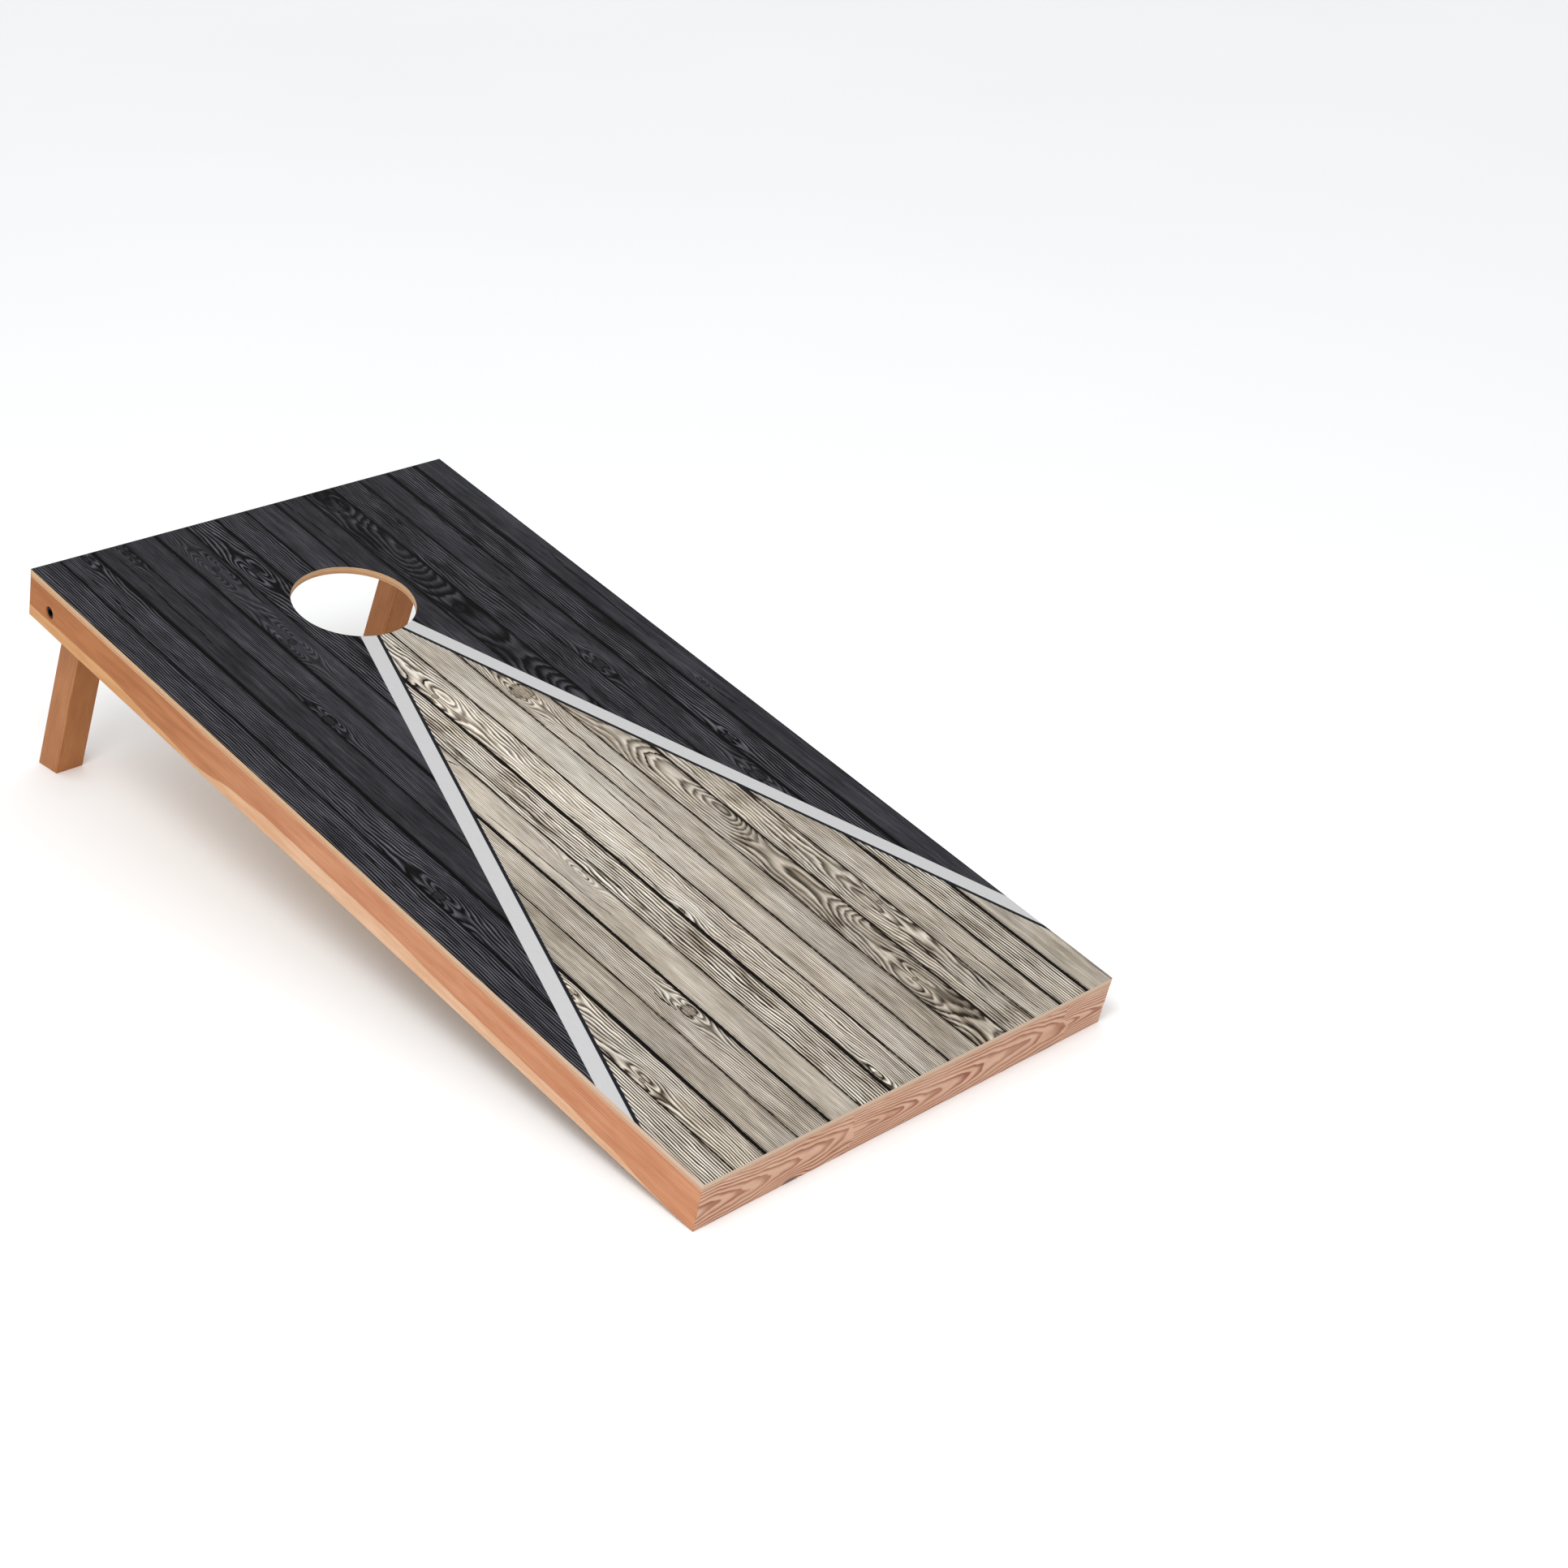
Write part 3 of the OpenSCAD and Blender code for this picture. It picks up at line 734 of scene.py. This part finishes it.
# ---------------------------------------------------------------------------
# Hardware, turned on its own axis: a list of sections, each a place along the axis and a shape
# ---------------------------------------------------------------------------

ROUND_STEPS = 72
BOLT_R = 9.525 / 2 * MM
BOLT_BORE_R = BOLT_R + 0.08 * MM
BOLT_HEAD_R = 14.3 / 2 * MM
BOLT_HEAD_H = 9.5 * MM
SOCKET_FLATS = 7.94 * MM
THREAD_PITCH = 25.4 / 16 * MM
THREAD_L = 25.4 * MM
THREAD_DEPTH = 0.9 * MM
STEPS_PER_PITCH = 8
NUT_FLATS = 14.29 * MM
NUT_HEX_H = 8.2 * MM
NUT_COLLAR_R = NUT_FLATS / 2 - 0.4 * MM
NUT_RING_R = NUT_FLATS / 2 - 1.6 * MM
SCREW_R = 2.0 * MM
SCREW_HEAD_R = 4.1 * MM
SCREW_PITCH = 2.6 * MM
SCREW_THREAD_DEPTH = 0.65 * MM
SCREW_SHANK_L = 6 * MM
SCREW_POINT_L = 7 * MM
SCREW_DRIVE_FLATS = 3.4 * MM
SCREW_DRIVE_DEPTH = 1.9 * MM

# How the nut's corners are turned off at its outer and inner end: distance in from the end, and
# radius that the corners are cut back to, in mm
NUT_OUTER_CORNERS = ((0.0, 6.7), (0.35, 7.2), (0.8, 7.7), (1.4, 8.3))
NUT_INNER_CORNERS = ((1.4, 8.3), (0.8, 7.8), (0.35, 7.4), (0.0, 7.1))


def round_shape(radius):
    return lambda angle: radius


def flat_sided(sides, across_flats, corner_r=math.inf):
    """A regular polygon whose corners are cut back to a circle."""
    sector = math.tau / sides

    def radius(angle):
        from_flat = angle % sector - sector / 2
        return min(across_flats / 2 / math.cos(from_flat), corner_r)
    return radius


def threaded(radius, depth, pitch, along):
    """One section of a helical thread, at a distance along it."""
    def radius_at(angle):
        turn = (along / pitch - angle / math.tau) % 1
        return radius - depth * abs(2 * turn - 1)
    return radius_at


def thread_sections(start, end, radius, depth, pitch, taper_l=0.0):
    """Sections of a thread, which narrows to a point over its last taper_l."""
    steps = round((end - start) / pitch * STEPS_PER_PITCH)
    sections = []
    for i in range(steps + 1):
        along = start + (end - start) * i / steps
        share = min(1.0, (end - along) / taper_l) if taper_l else 1.0
        outer_r = max(radius * share, 0.1 * MM)
        sections.append((along, threaded(outer_r, depth * share, pitch, along)))
    return sections


def add_turned(mesh, matrix, sections, is_ring):
    """Adds a closed solid to a bmesh. A ring runs back to its first section, and has no ends."""
    rings = []
    for along, radius_at in sections:
        ring = []
        for i in range(ROUND_STEPS):
            angle = math.tau * i / ROUND_STEPS
            r = radius_at(angle)
            place = Vector((r * math.cos(angle), r * math.sin(angle), along))
            ring.append(mesh.verts.new(matrix @ place))
        rings.append(ring)
    pairs = list(zip(rings, rings[1:]))
    if is_ring:
        pairs.append((rings[-1], rings[0]))
    else:
        mesh.faces.new(rings[0])
        mesh.faces.new(rings[-1])
    for first, second in pairs:
        for i in range(ROUND_STEPS):
            j = (i + 1) % ROUND_STEPS
            mesh.faces.new((first[i], first[j], second[j], second[i]))


def make_hardware(node, material, solids):
    """One piece in place of a CAD node, from solids given as (matrix, sections, is_ring)."""
    shape = bmesh.new()
    for matrix, sections, is_ring in solids:
        add_turned(shape, matrix, sections, is_ring)
    bmesh.ops.recalc_face_normals(shape, faces=shape.faces)
    mesh = bpy.data.meshes.new("detailed_" + node)
    shape.to_mesh(mesh)
    shape.free()
    mesh.materials.append(material)
    mesh.shade_smooth()
    mesh.set_sharp_from_angle(angle=math.radians(35))
    piece = bpy.data.objects.new("detailed_" + node, mesh)
    bpy.context.scene.collection.objects.link(piece)
    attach(piece, "board")
    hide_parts(node)


def on_bolt_line(node):
    """A frame on the bolt's line whose z points into the board from the node's outer end."""
    side = "left" if node.startswith("left") else "right"
    low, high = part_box(node)
    outer = low[0] if side == "left" else high[0]
    pivot = PIVOT[side + "_leg"]
    turn = math.radians(90 if side == "left" else -90)
    return Matrix.Translation((outer, pivot.y, pivot.z)) @ Matrix.Rotation(turn, 4, "Y")


def length_of(node):
    low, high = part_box(node)
    return high[0] - low[0]


def bolt_sections(length):
    """A socket head cap screw, from the bottom of its socket to the end of its thread."""
    socket = flat_sided(6, SOCKET_FLATS)
    socket_mouth = flat_sided(6, SOCKET_FLATS + 0.5 * MM)
    thread_start = length - THREAD_L
    edge = 0.8 * MM
    sections = [(BOLT_HEAD_H / 2, socket), (0.25 * MM, socket), (0.0, socket_mouth)]
    for i in range(5):
        angle = math.radians(90 * i / 4)
        r = BOLT_HEAD_R - edge + edge * math.sin(angle)
        sections.append((edge - edge * math.cos(angle), round_shape(r)))
    sections += [(BOLT_HEAD_H - 0.2 * MM, round_shape(BOLT_HEAD_R)),
                 (BOLT_HEAD_H, round_shape(BOLT_HEAD_R - 0.2 * MM)),
                 (BOLT_HEAD_H, round_shape(BOLT_R)),
                 (thread_start - 1 * MM, round_shape(BOLT_R))]
    sections += thread_sections(thread_start, length - edge, BOLT_R, THREAD_DEPTH, THREAD_PITCH)
    sections.append((length, round_shape(BOLT_R - edge - 0.3 * MM)))
    return sections


def washer_sections(outer_r, thickness):
    """A stamped washer: rounded on its outer side, sharper on the other."""
    edge = 0.25 * MM
    return [(0.0, round_shape(BOLT_BORE_R + edge)),
            (0.0, round_shape(outer_r - 2 * edge)),
            (0.3 * edge, round_shape(outer_r - edge)),
            (edge, round_shape(outer_r - 0.3 * edge)),
            (2 * edge, round_shape(outer_r)),
            (thickness - edge, round_shape(outer_r)),
            (thickness, round_shape(outer_r - edge)),
            (thickness, round_shape(BOLT_BORE_R + edge)),
            (thickness - edge, round_shape(BOLT_BORE_R)),
            (edge, round_shape(BOLT_BORE_R))]


def nut_sections(length, ring_l):
    """A lock nut: a hexagon with its corners turned off at both ends, and a round collar."""
    sections = []
    for along, corner_r in NUT_OUTER_CORNERS:
        sections.append((along * MM, flat_sided(6, NUT_FLATS, corner_r * MM)))
    for along, corner_r in NUT_INNER_CORNERS:
        sections.append((NUT_HEX_H - along * MM, flat_sided(6, NUT_FLATS, corner_r * MM)))
    return sections + [(NUT_HEX_H, round_shape(NUT_COLLAR_R)),
                       (length - 1.2 * MM, round_shape(NUT_COLLAR_R)),
                       (length - 0.5 * MM, round_shape(NUT_COLLAR_R - 0.25 * MM)),
                       (length - 0.1 * MM, round_shape(NUT_COLLAR_R - 0.7 * MM)),
                       (length, round_shape(NUT_RING_R + 0.2 * MM)),
                       (length - 0.2 * MM, round_shape(NUT_RING_R)),
                       (length - ring_l, round_shape(NUT_RING_R)),
                       (length - ring_l, round_shape(BOLT_BORE_R)),
                       (0.5 * MM, round_shape(BOLT_BORE_R)),
                       (0.0, round_shape(BOLT_BORE_R + 0.5 * MM))]


def nut_ring_sections(length):
    """The nylon ring of a lock nut, with its end dished round the bolt."""
    edge = 0.5 * MM
    return [(0.0, round_shape(BOLT_R)), (0.0, round_shape(NUT_RING_R)),
            (length - 0.4 * MM, round_shape(NUT_RING_R)),
            (length - 0.3 * MM, round_shape(NUT_RING_R - edge)),
            (length - 0.6 * MM, round_shape(BOLT_R + edge)),
            (length - 1.1 * MM, round_shape(BOLT_R))]


def screw_sections(length):
    """A countersunk wood screw with a square drive, from the drive's bottom to the point."""
    neck = SCREW_HEAD_R - SCREW_R
    thread_start = neck + SCREW_SHANK_L
    return [(SCREW_DRIVE_DEPTH, flat_sided(4, SCREW_DRIVE_FLATS * 0.8)),
            (0.2 * MM, flat_sided(4, SCREW_DRIVE_FLATS)),
            (0.0, flat_sided(4, SCREW_DRIVE_FLATS * 1.1)),
            (0.0, round_shape(SCREW_HEAD_R - 0.1 * MM)),
            (0.15 * MM, round_shape(SCREW_HEAD_R)),
            (neck, round_shape(SCREW_R)),
            (thread_start, round_shape(SCREW_R * 0.8)),
            *thread_sections(thread_start, length, SCREW_R, SCREW_THREAD_DEPTH, SCREW_PITCH,
                             SCREW_POINT_L)]


def screw_lines(node):
    """The middle of the head and the point of each screw in a CAD group."""
    shape = bmesh.new()
    shape.from_mesh(NODES[node].data)
    bmesh.ops.remove_doubles(shape, verts=shape.verts, dist=0.01 * MM)
    seen = set()
    for start in shape.verts:
        if start in seen:
            continue
        seen.add(start)
        group = []
        to_visit = [start]
        while to_visit:
            vertex = to_visit.pop()
            group.append(vertex.co.copy())
            for edge in vertex.link_edges:
                beside = edge.other_vert(vertex)
                if beside not in seen:
                    seen.add(beside)
                    to_visit.append(beside)
        middle = sum(group, Vector()) / len(group)
        point = max(group, key=lambda place: (place - middle).length)
        furthest = max((place - point).length for place in group)
        rim = [place for place in group if (place - point).length > furthest - 0.05 * MM]
        yield sum(rim, Vector()) / len(rim), point
    shape.free()


for side in ("left", "right"):
    bolt = side + "_leg_bolt"
    nut = side + "_lock_nut"
    ring = side + "_nut_ring"
    make_hardware(bolt, black_steel,
                  [(on_bolt_line(bolt), bolt_sections(length_of(bolt)), False)])
    for washer in (side + "_spacer_washer", side + "_nut_washer"):
        low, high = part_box(washer)
        sections = washer_sections((high[2] - low[2]) / 2, length_of(washer))
        make_hardware(washer, zinc, [(on_bolt_line(washer), sections, True)])
    make_hardware(nut, zinc,
                  [(on_bolt_line(nut), nut_sections(length_of(nut), length_of(ring)), True)])
    make_hardware(ring, blue_nylon,
                  [(on_bolt_line(ring), nut_ring_sections(length_of(ring)), True)])

for group in ("leg_block_screws", "brace_screws"):
    screws = []
    for head, point in screw_lines(group):
        turn = (point - head).to_track_quat("Z", "Y").to_matrix().to_4x4()
        screws.append((Matrix.Translation(head) @ turn, screw_sections((point - head).length), False))
    make_hardware(group, yellow_zinc, screws)

# ---------------------------------------------------------------------------
# Studio: floor, light and camera
# ---------------------------------------------------------------------------


def make_floor():
    """A flat floor, wide enough to fill the main camera's view."""
    half = 15.0
    mesh = bpy.data.meshes.new("studio_floor")
    mesh.from_pydata([(-half, -half, 0), (half, -half, 0), (half, half, 0), (-half, half, 0)],
                     [], [(0, 1, 2, 3)])
    mesh.materials.append(studio_floor())
    floor = bpy.data.objects.new("studio_floor", mesh)
    bpy.context.scene.collection.objects.link(floor)


def make_light(name, place, size, power):
    """A square soft light, in watts, that shines at the board's middle."""
    data = bpy.data.lights.new(name, "AREA")
    data.size = size
    data.energy = power
    light = bpy.data.objects.new(name, data)
    bpy.context.scene.collection.objects.link(light)
    light.location = place
    board_middle = Vector((0, 0, 0.15))
    light.rotation_euler = (board_middle - light.location).to_track_quat("-Z", "Y").to_euler()


def make_sky(strength):
    """The same white light from every side."""
    world = bpy.data.worlds.new("studio")
    world.use_nodes = True
    world.node_tree.nodes["Background"].inputs["Color"].default_value = (1, 1, 1, 1)
    world.node_tree.nodes["Background"].inputs["Strength"].default_value = strength
    bpy.context.scene.world = world


def make_camera():
    """A camera to the left of the board's front, looking down at it, turned a little clockwise."""
    place = Vector((-1.904, -2.305, 1.681))
    heading = math.radians(45.29)
    dip = math.radians(27.08)
    roll = math.radians(3.05)
    data = bpy.data.cameras.new("camera")
    data.lens = 66.34
    data.sensor_width = 36.0
    data.clip_end = 100.0
    camera = bpy.data.objects.new("camera", data)
    bpy.context.scene.collection.objects.link(camera)
    turn = Matrix.Rotation(-heading, 4, "Z") @ Matrix.Rotation(math.radians(90) - dip, 4, "X")
    camera.matrix_world = Matrix.Translation(place) @ turn @ Matrix.Rotation(roll, 4, "Z")
    bpy.context.scene.camera = camera


make_floor()
make_sky(strength=0.9)
make_light("key", place=(-1.7, -1.3, 2.8), size=1.2, power=52.0)
make_camera()
bpy.context.scene.view_settings.view_transform = "Standard"
